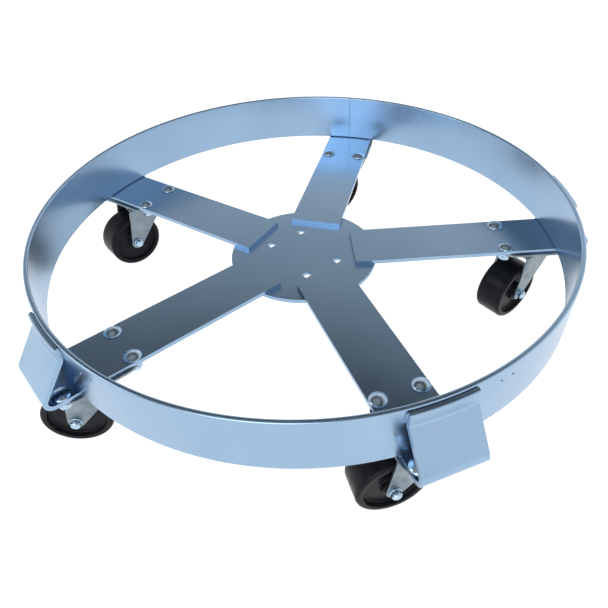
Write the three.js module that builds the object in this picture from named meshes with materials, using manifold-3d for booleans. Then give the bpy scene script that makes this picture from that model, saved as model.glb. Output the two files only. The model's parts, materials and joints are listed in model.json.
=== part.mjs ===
// Drum dolly: a flat-bar hoop stands on five flat-bar arms that meet on a round centre plate.
// Each arm runs out under the hoop, turns up and leans back on the hoop's outside as an outrigger,
// and a swivel caster is bolted under it. Millimetres, +Z up. The origin is the centre of the
// centre plate's underside, and the first arm points along +X.
import * as THREE from 'three';
import { mergeVertices } from 'three/addons/utils/BufferGeometryUtils.js';
import Module from 'manifold-3d';

const wasm = await Module();
wasm.setup();

// Gap kept between pieces that only touch on the real object, the gap of what turns, and how
// close two vertices are when they are one.
const GAP = 0.3;
const RUNNING_GAP = 0.35;
const SAME_POINT = 1e-4;

// Flat bar that the hoop and the arms are made of.
const BAR_WIDTH = 65;
const BAR_THICKNESS = 5;

// Centre plate, with four square holes on the same pattern as a caster plate's.
const PLATE_RADIUS = 90;
const PLATE_THICKNESS = 5;
const PLATE_CURVE_SEGMENTS = 24;
const PLATE_PATTERN_ANGLE = 302;
const SQUARE_HOLE = 8.5;

// Arms: five, 72 degrees apart, lying on the centre plate.
const ARM_COUNT = 5;
const ARM_INNER_END = 61;
const ARM_BOTTOM = PLATE_THICKNESS;
const ARM_TOP = ARM_BOTTOM + BAR_THICKNESS;
const ARM_COLUMNS = 4;

// Hoop: the same bar on edge, rolled to a circle and standing on the arms.
const HOOP_INNER_RADIUS = 305;
const HOOP_OUTER_RADIUS = HOOP_INNER_RADIUS + BAR_THICKNESS;
const HOOP_TOP = ARM_TOP + BAR_WIDTH;
const HOOP_SEGMENTS = 72;

// Outrigger: the bar's lower bend, its lean back to the hoop, and the lip that lies against it.
const BEND_START = 331.8;
const BEND_RADIUS = 8;
const LOWER_BEND_ANGLE = 124;
const LOWER_BEND_STEPS = 6;
const UPPER_BEND_ANGLE = LOWER_BEND_ANGLE - 90;
const UPPER_BEND_STEPS = 2;
const LIP_TOP = HOOP_TOP - 2.5;
const LIP_GAP = 0.4;
const LIP_RADIUS = HOOP_OUTER_RADIUS + LIP_GAP + BAR_THICKNESS / 2;

// Caster bolts: carriage bolts down through the arm and the caster plate into hex nuts.
const KINGPIN_RADIUS_FROM_CENTRE = 284.8;
const BOLT_PITCH_ALONG = 76.2;
const BOLT_PITCH_ACROSS = 46;
const BOLT_SHANK_RADIUS = 3.9;
const BOLT_HEAD_RADIUS = 8.8;
const BOLT_HEAD_HEIGHT = 4.5;
const BOLT_HEAD_RIM = 1;
const DOME_RING_SHARE = 0.55;
const BOLT_NECK = 7.9;
const BOLT_BOTTOM = -8;
const BOLT_SEGMENTS = 8;
const HEX_RADIUS = 7.5;
const NUT_HEIGHT = 6.4;

// Caster plate with its pressed raceway, under the arm.
const CASTER_PLATE_LENGTH = 100;
const CASTER_PLATE_WIDTH = 71;
const CASTER_PLATE_CORNER = 26;
const CASTER_PLATE_THICKNESS = 3;
const CASTER_PLATE_BOTTOM = ARM_BOTTOM - CASTER_PLATE_THICKNESS;
const CASTER_BOLT_HOLE_RADIUS = 4.4;
const RACEWAY_INNER_RADIUS = 15;
const RACEWAY_OUTER_RADIUS = 23;
const RACEWAY_BOTTOM = CASTER_PLATE_BOTTOM - 2.5;

// Kingpin: a rivet that the fork turns on, with a retaining washer formed under the crown.
const KINGPIN_RADIUS = 5;
const KINGPIN_HEAD_RADIUS = 8;
const KINGPIN_HEAD_BOTTOM = 3.5;
const KINGPIN_TOP = 4.6;
const KINGPIN_WASHER_RADIUS = 13;
const KINGPIN_WASHER_THICKNESS = 1.8;
const KINGPIN_NUT_HEIGHT = 3.4;

// Swivel fork, in its own frame: +X from the kingpin towards the axle.
const CROWN_RADIUS = 24;
const CROWN_TOP = RACEWAY_BOTTOM - 2;
const CROWN_THICKNESS = 3;
const CROWN_BOTTOM = CROWN_TOP - CROWN_THICKNESS;
const LEG_FRONT = 28;
const LEG_BACK = -18.5;
const LEG_OUTER_FACE = 21;
const LEG_THICKNESS = 2.5;
const LEG_END_RADIUS = 9;
const LEG_END_START = THREE.MathUtils.degToRad(210);
const LEG_END_STOP = THREE.MathUtils.degToRad(370);
const LEG_SHOULDER_DROP = 18;
const CASTER_HEIGHT = 101.6;
const TRAIL = 28;

// Wheel, its sleeve and the axle bolt that clamps the sleeve between the legs.
const WHEEL_RADIUS = 38.1;
const WHEEL_HALF_WIDTH = 17.5;
const WHEEL_EDGE = 3;
const WHEEL_RIM_RADIUS = 30.5;
const WHEEL_WEB_HALF_WIDTH = 12;
const WHEEL_HUB_RADIUS = 12;
const WHEEL_HUB_HALF_WIDTH = 17.8;
const WHEEL_SEGMENTS = 20;
const SLEEVE_RADIUS = 6;
const SLEEVE_HALF_LENGTH = LEG_OUTER_FACE - LEG_THICKNESS - GAP;
const AXLE_RADIUS = 4;
const AXLE_HEAD_THICKNESS = 5;
const AXLE_END = 28;
const AXLE_HOLE_RADIUS = AXLE_RADIUS + 1.5 * GAP;
const ROUND_SEGMENTS = 12;
const CORNER_CURVE_SEGMENTS = 4;
const AXLE_Z = ARM_BOTTOM - CASTER_HEIGHT + WHEEL_RADIUS;

// Where each caster last came to rest: the direction from kingpin to axle, in degrees from +X.
const CASTER_REST_DEGREES = [215.5, 216.8, 217, 182, 193];

const COLOURS = {
  plated: 0x9db8d8,
  bolt: 0xc4ccd2,
  fork: 0xa6a9a8,
  steel: 0xb4b8ba,
  wheel: 0x16181b,
};

function plated(colour) {
  return new THREE.MeshStandardMaterial({ color: colour, roughness: 0.3, metalness: 0.9 });
}

function toSolid(geometry) {
  const plain = geometry.clone();
  plain.deleteAttribute('normal');
  plain.deleteAttribute('uv');
  const merged = mergeVertices(plain, SAME_POINT);
  return new wasm.Manifold(new wasm.Mesh({
    numProp: 3,
    vertProperties: new Float32Array(merged.attributes.position.array),
    triVerts: new Uint32Array(merged.index.array),
  }));
}

function toGeometry(solid) {
  const mesh = solid.getMesh();
  const geometry = new THREE.BufferGeometry();
  geometry.setAttribute('position', new THREE.BufferAttribute(mesh.vertProperties, 3));
  geometry.setIndex(new THREE.BufferAttribute(mesh.triVerts, 1));
  geometry.computeVertexNormals();
  return geometry;
}

// A body turned about Z from [radius, z] points that run anticlockwise.
function turned(points, segments) {
  const profile = points.map(([radius, z]) => new THREE.Vector2(radius, z));
  return new THREE.LatheGeometry(profile, segments).rotateX(Math.PI / 2);
}

function squarePath(x, y, side, angle) {
  const path = new THREE.Path();
  const corners = [0, 1, 2, 3].map((corner) => {
    const turn = angle + Math.PI / 4 + corner * Math.PI / 2;
    const reach = side / Math.SQRT2;
    return new THREE.Vector2(x + reach * Math.cos(turn), y + reach * Math.sin(turn));
  });
  path.setFromPoints(corners);
  return path;
}

function circlePath(x, y, radius) {
  const path = new THREE.Path();
  path.absarc(x, y, radius, 0, 2 * Math.PI);
  return path;
}

function boltPattern() {
  const places = [];
  for (const along of [-BOLT_PITCH_ALONG / 2, BOLT_PITCH_ALONG / 2]) {
    for (const across of [-BOLT_PITCH_ACROSS / 2, BOLT_PITCH_ACROSS / 2]) {
      places.push([along, across]);
    }
  }
  return places;
}

function hoopGeometry() {
  return turned([
    [HOOP_INNER_RADIUS, ARM_TOP],
    [HOOP_OUTER_RADIUS, ARM_TOP],
    [HOOP_OUTER_RADIUS, HOOP_TOP],
    [HOOP_INNER_RADIUS, HOOP_TOP],
    [HOOP_INNER_RADIUS, ARM_TOP],
  ], HOOP_SEGMENTS);
}

function centrePlateGeometry() {
  const outline = new THREE.Shape();
  outline.absarc(0, 0, PLATE_RADIUS, 0, 2 * Math.PI);
  const turn = THREE.MathUtils.degToRad(PLATE_PATTERN_ANGLE);
  for (const [along, across] of boltPattern()) {
    const x = along * Math.cos(turn) - across * Math.sin(turn);
    const y = along * Math.sin(turn) + across * Math.cos(turn);
    outline.holes.push(squarePath(x, y, SQUARE_HOLE, turn));
  }
  return new THREE.ExtrudeGeometry(outline, {
    depth: PLATE_THICKNESS,
    bevelEnabled: false,
    curveSegments: PLATE_CURVE_SEGMENTS,
  });
}

// Cross-sections of the bent bar's centreline in the X-Z plane, walked from its inner end. Each
// has a heading in radians, and hug is how far it follows the hoop's curve across its width.
function barSections() {
  const place = { x: ARM_INNER_END, z: ARM_BOTTOM + BAR_THICKNESS / 2, heading: 0, hug: 0 };
  const sections = [{ ...place }];
  const step = (length, heading) => {
    place.x += length * Math.cos(heading);
    place.z += length * Math.sin(heading);
  };
  const straight = (length) => {
    step(length, place.heading);
    sections.push({ ...place });
  };
  const bend = (degrees, steps) => {
    const turn = THREE.MathUtils.degToRad(degrees) / steps;
    const chord = 2 * BEND_RADIUS * Math.sin(Math.abs(turn) / 2);
    for (let count = 0; count < steps; count += 1) {
      step(chord, place.heading + turn / 2);
      place.heading += turn;
      sections.push({ ...place });
    }
  };
  straight(BEND_START - ARM_INNER_END);
  bend(LOWER_BEND_ANGLE, LOWER_BEND_STEPS);
  const upperBendReach = BEND_RADIUS * (1 - Math.sin(place.heading));
  place.hug = 1;
  straight((place.x - upperBendReach - LIP_RADIUS) / -Math.cos(place.heading));
  bend(-UPPER_BEND_ANGLE, UPPER_BEND_STEPS);
  straight(LIP_TOP - place.z);
  return sections;
}

// A closed strip: its upper skin, lower skin, two long edges and two ends.
function bentBarGeometry() {
  const sections = barSections();
  const columns = ARM_COLUMNS + 1;
  const positions = [];
  for (const side of [1, -1]) {
    for (const section of sections) {
      const reach = side * BAR_THICKNESS / 2;
      for (let column = 0; column < columns; column += 1) {
        const y = BAR_WIDTH * (column / ARM_COLUMNS - 0.5);
        const sag = LIP_RADIUS - Math.sqrt(LIP_RADIUS ** 2 - y ** 2);
        const x = section.x - reach * Math.sin(section.heading) - section.hug * sag;
        positions.push(x, y, section.z + reach * Math.cos(section.heading));
      }
    }
  }
  const last = sections.length - 1;
  const upper = (row, column) => row * columns + column;
  const lower = (row, column) => (sections.length + row) * columns + column;
  const index = [];
  const quad = (a, b, c, d) => index.push(a, b, c, a, c, d);
  for (let row = 0; row < last; row += 1) {
    for (let column = 0; column < ARM_COLUMNS; column += 1) {
      const next = column + 1;
      quad(upper(row, column), upper(row + 1, column), upper(row + 1, next), upper(row, next));
      quad(lower(row, next), lower(row + 1, next), lower(row + 1, column), lower(row, column));
    }
    const edge = ARM_COLUMNS;
    quad(upper(row, 0), lower(row, 0), lower(row + 1, 0), upper(row + 1, 0));
    quad(upper(row, edge), upper(row + 1, edge), lower(row + 1, edge), lower(row, edge));
  }
  for (let column = 0; column < ARM_COLUMNS; column += 1) {
    const next = column + 1;
    quad(upper(0, column), upper(0, next), lower(0, next), lower(0, column));
    quad(lower(last, column), lower(last, next), upper(last, next), upper(last, column));
  }
  const geometry = new THREE.BufferGeometry();
  geometry.setAttribute('position', new THREE.Float32BufferAttribute(positions, 3));
  geometry.setIndex(index);
  return geometry;
}

function armGeometry() {
  let solid = toSolid(bentBarGeometry());
  for (const [along, across] of boltPattern()) {
    const punch = new THREE.BoxGeometry(SQUARE_HOLE, SQUARE_HOLE, 4 * BAR_THICKNESS);
    punch.translate(KINGPIN_RADIUS_FROM_CENTRE + along, across, ARM_BOTTOM);
    solid = solid.subtract(toSolid(punch));
  }
  return toGeometry(solid);
}

function hexPrism(height, centreZ) {
  return new THREE.CylinderGeometry(HEX_RADIUS, HEX_RADIUS, height, 6)
    .rotateX(Math.PI / 2)
    .translate(0, 0, centreZ);
}

// Domed head, square neck, shank and the hex nut under the caster plate, joined as one piece.
function carriageBoltGeometry() {
  const domeHeight = BOLT_HEAD_HEIGHT - BOLT_HEAD_RIM;
  const domeRadius = (BOLT_HEAD_RADIUS ** 2 + domeHeight ** 2) / (2 * domeHeight);
  const domeAngle = Math.asin(BOLT_HEAD_RADIUS / domeRadius);
  const domeCentre = ARM_TOP + BOLT_HEAD_HEIGHT - domeRadius;
  const profile = [
    [0, BOLT_BOTTOM],
    [BOLT_SHANK_RADIUS, BOLT_BOTTOM],
    [BOLT_SHANK_RADIUS, ARM_TOP],
    [BOLT_HEAD_RADIUS, ARM_TOP],
  ];
  for (const share of [1, DOME_RING_SHARE]) {
    const tilt = domeAngle * share;
    profile.push([domeRadius * Math.sin(tilt), domeCentre + domeRadius * Math.cos(tilt)]);
  }
  profile.push([0, ARM_TOP + BOLT_HEAD_HEIGHT]);
  const neckTop = ARM_TOP + BOLT_HEAD_RIM / 2;
  const neckBottom = ARM_BOTTOM + GAP;
  const neck = new THREE.BoxGeometry(BOLT_NECK, BOLT_NECK, neckTop - neckBottom);
  neck.translate(0, 0, (neckTop + neckBottom) / 2);
  const nut = hexPrism(NUT_HEIGHT, CASTER_PLATE_BOTTOM - NUT_HEIGHT / 2);
  return toGeometry(toSolid(turned(profile, BOLT_SEGMENTS)).add(toSolid(neck)).add(toSolid(nut)));
}

function casterPlateGeometry() {
  const x = CASTER_PLATE_LENGTH / 2 - CASTER_PLATE_CORNER;
  const y = CASTER_PLATE_WIDTH / 2 - CASTER_PLATE_CORNER;
  const outline = new THREE.Shape();
  const quarter = Math.PI / 2;
  outline.absarc(x, y, CASTER_PLATE_CORNER, 0, quarter);
  outline.absarc(-x, y, CASTER_PLATE_CORNER, quarter, 2 * quarter);
  outline.absarc(-x, -y, CASTER_PLATE_CORNER, 2 * quarter, 3 * quarter);
  outline.absarc(x, -y, CASTER_PLATE_CORNER, 3 * quarter, 4 * quarter);
  outline.closePath();
  for (const [along, across] of boltPattern()) {
    outline.holes.push(circlePath(along, across, CASTER_BOLT_HOLE_RADIUS));
  }
  const flat = new THREE.ExtrudeGeometry(outline, {
    depth: CASTER_PLATE_THICKNESS,
    bevelEnabled: false,
    curveSegments: CORNER_CURVE_SEGMENTS,
  }).translate(0, 0, CASTER_PLATE_BOTTOM);
  const raceway = turned([
    [RACEWAY_INNER_RADIUS, RACEWAY_BOTTOM],
    [RACEWAY_OUTER_RADIUS, RACEWAY_BOTTOM],
    [RACEWAY_OUTER_RADIUS, CASTER_PLATE_BOTTOM + 1],
    [RACEWAY_INNER_RADIUS, CASTER_PLATE_BOTTOM + 1],
    [RACEWAY_INNER_RADIUS, RACEWAY_BOTTOM],
  ], ROUND_SEGMENTS);
  const recess = turned([
    [0, CASTER_PLATE_BOTTOM - 1],
    [KINGPIN_RADIUS + GAP, CASTER_PLATE_BOTTOM - 1],
    [KINGPIN_RADIUS + GAP, KINGPIN_HEAD_BOTTOM - GAP],
    [KINGPIN_HEAD_RADIUS + GAP, KINGPIN_HEAD_BOTTOM - GAP],
    [KINGPIN_HEAD_RADIUS + GAP, ARM_BOTTOM + 1],
    [0, ARM_BOTTOM + 1],
  ], ROUND_SEGMENTS);
  return toGeometry(toSolid(flat).add(toSolid(raceway)).subtract(toSolid(recess)));
}

function kingpinGeometry() {
  const washerTop = CROWN_BOTTOM - GAP;
  const washerBottom = washerTop - KINGPIN_WASHER_THICKNESS;
  return turned([
    [0, washerBottom - KINGPIN_NUT_HEIGHT],
    [KINGPIN_HEAD_RADIUS, washerBottom - KINGPIN_NUT_HEIGHT],
    [KINGPIN_HEAD_RADIUS, washerBottom],
    [KINGPIN_WASHER_RADIUS, washerBottom],
    [KINGPIN_WASHER_RADIUS, washerTop],
    [KINGPIN_RADIUS, washerTop],
    [KINGPIN_RADIUS, KINGPIN_HEAD_BOTTOM],
    [KINGPIN_HEAD_RADIUS, KINGPIN_HEAD_BOTTOM],
    [KINGPIN_HEAD_RADIUS, KINGPIN_TOP],
    [0, KINGPIN_TOP],
  ], ROUND_SEGMENTS);
}

// One leg's side outline: a shoulder at the crown, two straight edges and a round end at the axle.
function legGeometry(innerFace) {
  const outline = new THREE.Shape();
  outline.moveTo(LEG_BACK, CROWN_TOP);
  outline.lineTo(LEG_BACK, CROWN_TOP - LEG_SHOULDER_DROP);
  outline.absarc(TRAIL, AXLE_Z, LEG_END_RADIUS, LEG_END_START, LEG_END_STOP);
  outline.lineTo(LEG_FRONT, CROWN_TOP);
  outline.closePath();
  outline.holes.push(circlePath(TRAIL, AXLE_Z, AXLE_HOLE_RADIUS));
  return new THREE.ExtrudeGeometry(outline, {
    depth: LEG_THICKNESS,
    bevelEnabled: false,
    curveSegments: CORNER_CURVE_SEGMENTS,
  }).rotateX(Math.PI / 2).translate(0, innerFace + LEG_THICKNESS, 0);
}

function forkGeometry() {
  const crown = turned([
    [KINGPIN_RADIUS + RUNNING_GAP, CROWN_BOTTOM],
    [CROWN_RADIUS, CROWN_BOTTOM],
    [CROWN_RADIUS, CROWN_TOP],
    [KINGPIN_RADIUS + RUNNING_GAP, CROWN_TOP],
    [KINGPIN_RADIUS + RUNNING_GAP, CROWN_BOTTOM],
  ], ROUND_SEGMENTS);
  const bore = turned([
    [0, CROWN_BOTTOM - 1],
    [KINGPIN_RADIUS + RUNNING_GAP, CROWN_BOTTOM - 1],
    [KINGPIN_RADIUS + RUNNING_GAP, CROWN_TOP + 1],
    [0, CROWN_TOP + 1],
  ], ROUND_SEGMENTS);
  const bridge = new THREE.BoxGeometry(LEG_FRONT - LEG_BACK, 2 * LEG_OUTER_FACE, CROWN_THICKNESS);
  bridge.translate((LEG_FRONT + LEG_BACK) / 2, 0, (CROWN_TOP + CROWN_BOTTOM) / 2);
  return toGeometry(
    toSolid(crown)
      .add(toSolid(bridge).subtract(toSolid(bore)))
      .add(toSolid(legGeometry(-LEG_OUTER_FACE)))
      .add(toSolid(legGeometry(LEG_OUTER_FACE - LEG_THICKNESS))),
  );
}

// The axle bolt lies along Y: hex head at -Y, shank, and its lock nut at +Y, joined as one piece.
function axleBoltGeometry() {
  const hexCentre = LEG_OUTER_FACE + GAP + AXLE_HEAD_THICKNESS / 2;
  const length = AXLE_END + hexCentre;
  const shank = new THREE.CylinderGeometry(AXLE_RADIUS, AXLE_RADIUS, length, BOLT_SEGMENTS)
    .rotateX(Math.PI / 2)
    .translate(0, 0, (AXLE_END - hexCentre) / 2);
  const solid = toSolid(shank)
    .add(toSolid(hexPrism(AXLE_HEAD_THICKNESS, hexCentre)))
    .add(toSolid(hexPrism(AXLE_HEAD_THICKNESS, -hexCentre)));
  return toGeometry(solid).rotateX(-Math.PI / 2);
}

function sleeveGeometry() {
  return turned([
    [AXLE_HOLE_RADIUS, -SLEEVE_HALF_LENGTH],
    [SLEEVE_RADIUS, -SLEEVE_HALF_LENGTH],
    [SLEEVE_RADIUS, SLEEVE_HALF_LENGTH],
    [AXLE_HOLE_RADIUS, SLEEVE_HALF_LENGTH],
    [AXLE_HOLE_RADIUS, -SLEEVE_HALF_LENGTH],
  ], ROUND_SEGMENTS).rotateX(-Math.PI / 2);
}

// Half of the wheel's section is listed from bore to tread, then mirrored.
function wheelGeometry() {
  const bore = SLEEVE_RADIUS + RUNNING_GAP;
  const half = [
    [bore, WHEEL_HUB_HALF_WIDTH],
    [WHEEL_HUB_RADIUS, WHEEL_HUB_HALF_WIDTH],
    [WHEEL_HUB_RADIUS, WHEEL_WEB_HALF_WIDTH],
    [WHEEL_RIM_RADIUS, WHEEL_WEB_HALF_WIDTH],
    [WHEEL_RIM_RADIUS, WHEEL_HALF_WIDTH],
    [WHEEL_RADIUS - WHEEL_EDGE, WHEEL_HALF_WIDTH],
    [WHEEL_RADIUS, WHEEL_HALF_WIDTH - WHEEL_EDGE],
  ];
  const lowerHalf = half.map(([radius, z]) => [radius, -z]);
  const profile = [...lowerHalf, ...half.reverse(), lowerHalf[0]];
  return turned(profile, WHEEL_SEGMENTS).rotateX(-Math.PI / 2).rotateY(Math.PI / 2);
}

function piece(name, geometry, colour) {
  const mesh = new THREE.Mesh(geometry, plated(colour));
  mesh.name = name;
  return mesh;
}

function buildCaster(number, shapes) {
  const caster = new THREE.Group();
  caster.position.x = KINGPIN_RADIUS_FROM_CENTRE;
  caster.add(piece(`caster_plate_${number}`, shapes.casterPlate, COLOURS.fork));
  caster.add(piece(`kingpin_${number}`, shapes.kingpin, COLOURS.steel));
  boltPattern().forEach(([along, across], place) => {
    const bolt = piece(`carriage_bolt_${number}_${place}`, shapes.carriageBolt, COLOURS.bolt);
    bolt.position.set(along, across, 0);
    caster.add(bolt);
  });
  const swivel = new THREE.Group();
  const armDegrees = number * 360 / ARM_COUNT;
  swivel.rotation.z = THREE.MathUtils.degToRad(CASTER_REST_DEGREES[number] - armDegrees);
  swivel.add(piece(`swivel_fork_${number}`, shapes.fork, COLOURS.fork));
  const axle = new THREE.Group();
  axle.position.set(TRAIL, 0, AXLE_Z);
  axle.add(piece(`axle_bolt_${number}`, shapes.axleBolt, COLOURS.bolt));
  axle.add(piece(`axle_sleeve_${number}`, shapes.sleeve, COLOURS.steel));
  axle.add(piece(`wheel_${number}`, shapes.wheel, COLOURS.wheel));
  swivel.add(axle);
  caster.add(swivel);
  return caster;
}

function buildDolly() {
  const dolly = new THREE.Group();
  dolly.add(piece('hoop', hoopGeometry(), COLOURS.plated));
  dolly.add(piece('centre_plate', centrePlateGeometry(), COLOURS.plated));
  const shapes = {
    arm: armGeometry(),
    casterPlate: casterPlateGeometry(),
    kingpin: kingpinGeometry(),
    carriageBolt: carriageBoltGeometry(),
    fork: forkGeometry(),
    axleBolt: axleBoltGeometry(),
    sleeve: sleeveGeometry(),
    wheel: wheelGeometry(),
  };
  for (let number = 0; number < ARM_COUNT; number += 1) {
    const spoke = new THREE.Group();
    spoke.rotation.z = THREE.MathUtils.degToRad(number * 360 / ARM_COUNT);
    spoke.add(piece(`arm_${number}`, shapes.arm, COLOURS.plated));
    spoke.add(buildCaster(number, shapes));
    dolly.add(spoke);
  }
  return dolly;
}

export default buildDolly();
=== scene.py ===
"""The looks of the drum dolly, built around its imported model. Metres, +Z up."""

import json
import math
import random

import bmesh
import bpy
from mathutils import Matrix, Vector


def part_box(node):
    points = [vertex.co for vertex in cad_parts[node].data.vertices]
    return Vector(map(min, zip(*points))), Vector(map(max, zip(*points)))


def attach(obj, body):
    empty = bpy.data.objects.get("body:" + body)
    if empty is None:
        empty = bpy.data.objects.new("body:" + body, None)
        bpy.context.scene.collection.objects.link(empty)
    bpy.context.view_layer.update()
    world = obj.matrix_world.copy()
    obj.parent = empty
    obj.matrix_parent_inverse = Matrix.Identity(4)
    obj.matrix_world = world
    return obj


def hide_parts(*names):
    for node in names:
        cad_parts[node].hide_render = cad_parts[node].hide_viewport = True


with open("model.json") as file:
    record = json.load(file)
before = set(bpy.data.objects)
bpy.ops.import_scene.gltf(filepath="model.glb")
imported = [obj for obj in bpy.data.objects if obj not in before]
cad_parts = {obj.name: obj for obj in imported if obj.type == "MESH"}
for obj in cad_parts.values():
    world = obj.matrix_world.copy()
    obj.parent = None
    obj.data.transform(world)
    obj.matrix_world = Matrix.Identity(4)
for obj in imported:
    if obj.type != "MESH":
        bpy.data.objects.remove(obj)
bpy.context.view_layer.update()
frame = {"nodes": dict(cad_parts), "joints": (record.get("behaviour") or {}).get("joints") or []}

MM = 0.001


# ---------------------------------------------------------------- places taken from the frame

JOINTS = {joint["name"]: joint for joint in frame["joints"]}
ARM_COUNT = sum(1 for name in frame["nodes"] if name.startswith("arm_"))

HOOP_LOW, HOOP_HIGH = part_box("hoop")
HOOP_OUTER_RADIUS = HOOP_HIGH.y
HOOP_BOTTOM = HOOP_LOW.z
HOOP_TOP = HOOP_HIGH.z
BAR_WIDTH = HOOP_TOP - HOOP_BOTTOM

PLATE_LOW, PLATE_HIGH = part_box("centre_plate")
PLATE_RADIUS = PLATE_HIGH.y
PLATE_TOP = PLATE_HIGH.z
BAR_THICKNESS = PLATE_TOP - PLATE_LOW.z
HOOP_INNER_RADIUS = HOOP_OUTER_RADIUS - BAR_THICKNESS

ARM_LOW, ARM_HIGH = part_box("arm_0")
ARM_INNER_END = ARM_LOW.x
ARM_OUTER_END = ARM_HIGH.x
ARM_BOTTOM = ARM_LOW.z
ARM_TOP = ARM_BOTTOM + BAR_THICKNESS
LIP_TOP = ARM_HIGH.z
BOLT_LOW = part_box("carriage_bolt_0_0")[0].z

CASTER_PLATE_LOW, CASTER_PLATE_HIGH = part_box("caster_plate_0")
CASTER_PLATE_THICKNESS = 3 * MM
CASTER_PLATE_TOP = CASTER_PLATE_HIGH.z
CASTER_PLATE_BOTTOM = CASTER_PLATE_TOP - CASTER_PLATE_THICKNESS
CASTER_PLATE_LENGTH = CASTER_PLATE_HIGH.x - CASTER_PLATE_LOW.x
CASTER_PLATE_WIDTH = CASTER_PLATE_HIGH.y - CASTER_PLATE_LOW.y

AXLE_Z = JOINTS["wheel_0_roll"]["pos_m"][2]
WHEEL_RADIUS = 38.1 * MM
FLOOR_Z = AXLE_Z - WHEEL_RADIUS
CROWN_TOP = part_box("swivel_fork_0")[1].z

# ---------------------------------------------------------------- sizes in metres

HOOP_EDGE_RADIUS = 1.9 * MM
HOOP_SEGMENTS = 240
PLATE_SEGMENTS = 160
PLATE_EDGE_RADIUS = 0.6 * MM
ARM_EDGE_RADIUS = 1.1 * MM
BOLT_PITCH_ALONG = 76.2 * MM
BOLT_PITCH_ACROSS = 46 * MM
SQUARE_HOLE = 8.5 * MM
PLATE_PATTERN_ANGLE = math.radians(302)

BEND_RADIUS = 8 * MM
LOWER_BEND = math.radians(124)
UPPER_BEND = LOWER_BEND - math.pi / 2
LIP_GAP = 0.4 * MM
LIP_RADIUS = HOOP_OUTER_RADIUS + LIP_GAP + BAR_THICKNESS / 2
LIP_EDGE_RADIUS = 3 * MM
SEAM_ANGLE = math.radians(72.5)
SEAM_WIDTH = 1.1 * MM
SEAM_HEIGHT = 0.3 * MM
SPECK_RADIUS = 1 * MM
WELD_SPECKS = [(62 * MM, 60.5 * MM), (76 * MM, 60 * MM), (-40.5 * MM, 44.5 * MM)]

BOLT_HEAD_RADIUS = 9.6 * MM
BOLT_HEAD_HEIGHT = 4.6 * MM
BOLT_RIM_RADIUS = 0.45 * MM
SHANK_RADIUS = 3.9 * MM
THREAD_PITCH = 1.25 * MM
THREAD_DEPTH = 0.5 * MM
NUT_APOTHEM = 6.5 * MM
NUT_HEIGHT = 6.4 * MM
WASHER_HEIGHT = 1.9 * MM
HEX_FLAT_SHARE = 0.965
HEX_CHAMFER = math.radians(30)

CASTER_CORNER_RADIUS = 26 * MM
BOLT_HOLE_RADIUS = 4.4 * MM
KINGPIN_HOLE_RADIUS = 8.4 * MM
TRAIL = 28 * MM
LEG_OUTER_FACE = 21 * MM
SHEET = 2.5 * MM
LEG_FRONT = 28 * MM
LEG_BACK = -18.5 * MM
LEG_END_RADIUS = 9 * MM
SHOULDER_DROP = 18 * MM
FORK_BEND_RADIUS = 5 * MM
AXLE_HEX_APOTHEM = 5 * MM
AXLE_HEAD_HEIGHT = 4.4 * MM
AXLE_SHANK_RADIUS = 3.95 * MM
AXLE_NUT_BORE = 3.7 * MM
SLEEVE_BORE = 4.4 * MM
SLEEVE_RADIUS = 5.9 * MM
BALL_RADIUS = 2.2 * MM
BALL_CIRCLE = 19 * MM
BALL_COUNT = 22
BALL_Z = CROWN_TOP + 1 * MM
RACE_RADIUS = BALL_RADIUS + 0.15 * MM

WHEEL_HALF_WIDTH = 17.5 * MM
HUB_RADIUS = 11.5 * MM
HUB_HALF_WIDTH = 17.8 * MM
RIM_INNER_RADIUS = 30.5 * MM
WEB_HALF_WIDTH = 12 * MM
WHEEL_BORE = 6.4 * MM
WHEEL_SHOULDER = 4 * MM


# ---------------------------------------------------------------- materials

def node_material(name, metallic):
    """A node material with its Principled shader, and the object coordinates for its noises."""
    material = bpy.data.materials.new(name)
    material.use_nodes = True
    nodes = material.node_tree.nodes
    shader = nodes["Principled BSDF"]
    shader.inputs["Metallic"].default_value = metallic
    place = nodes.new("ShaderNodeTexCoord")
    return material, shader, place


def noise(material, place, scale, detail):
    """Procedural noise over the object coordinates, in cycles per metre."""
    tree = material.node_tree
    texture = tree.nodes.new("ShaderNodeTexNoise")
    texture.inputs["Scale"].default_value = scale
    texture.inputs["Detail"].default_value = detail
    tree.links.new(place.outputs["Object"], texture.inputs["Vector"])
    return texture.outputs["Fac"]


def ramp(material, value, stops):
    """Colours over a value: stops are (position, colour)."""
    tree = material.node_tree
    node = tree.nodes.new("ShaderNodeValToRGB")
    elements = node.color_ramp.elements
    while len(elements) < len(stops):
        elements.new(0.5)
    for element, (position, colour) in zip(elements, stops):
        element.position = position
        element.color = (*colour, 1)
    tree.links.new(value, node.inputs["Fac"])
    return node.outputs["Color"]


def span(material, value, low, high, start=0.3, stop=0.7):
    """The value's middle part stretched to run from low to high."""
    tree = material.node_tree
    node = tree.nodes.new("ShaderNodeMapRange")
    node.inputs["From Min"].default_value = start
    node.inputs["From Max"].default_value = stop
    node.inputs["To Min"].default_value = low
    node.inputs["To Max"].default_value = high
    tree.links.new(value, node.inputs["Value"])
    return node.outputs["Result"]


def bump(material, shader, value, height, strength, before=None):
    """A bump of a real height in metres."""
    tree = material.node_tree
    node = tree.nodes.new("ShaderNodeBump")
    node.inputs["Distance"].default_value = height
    node.inputs["Strength"].default_value = strength
    tree.links.new(value, node.inputs["Height"])
    if before is not None:
        tree.links.new(before, node.inputs["Normal"])
    tree.links.new(node.outputs["Normal"], shader.inputs["Normal"])
    return node.outputs["Normal"]


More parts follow.
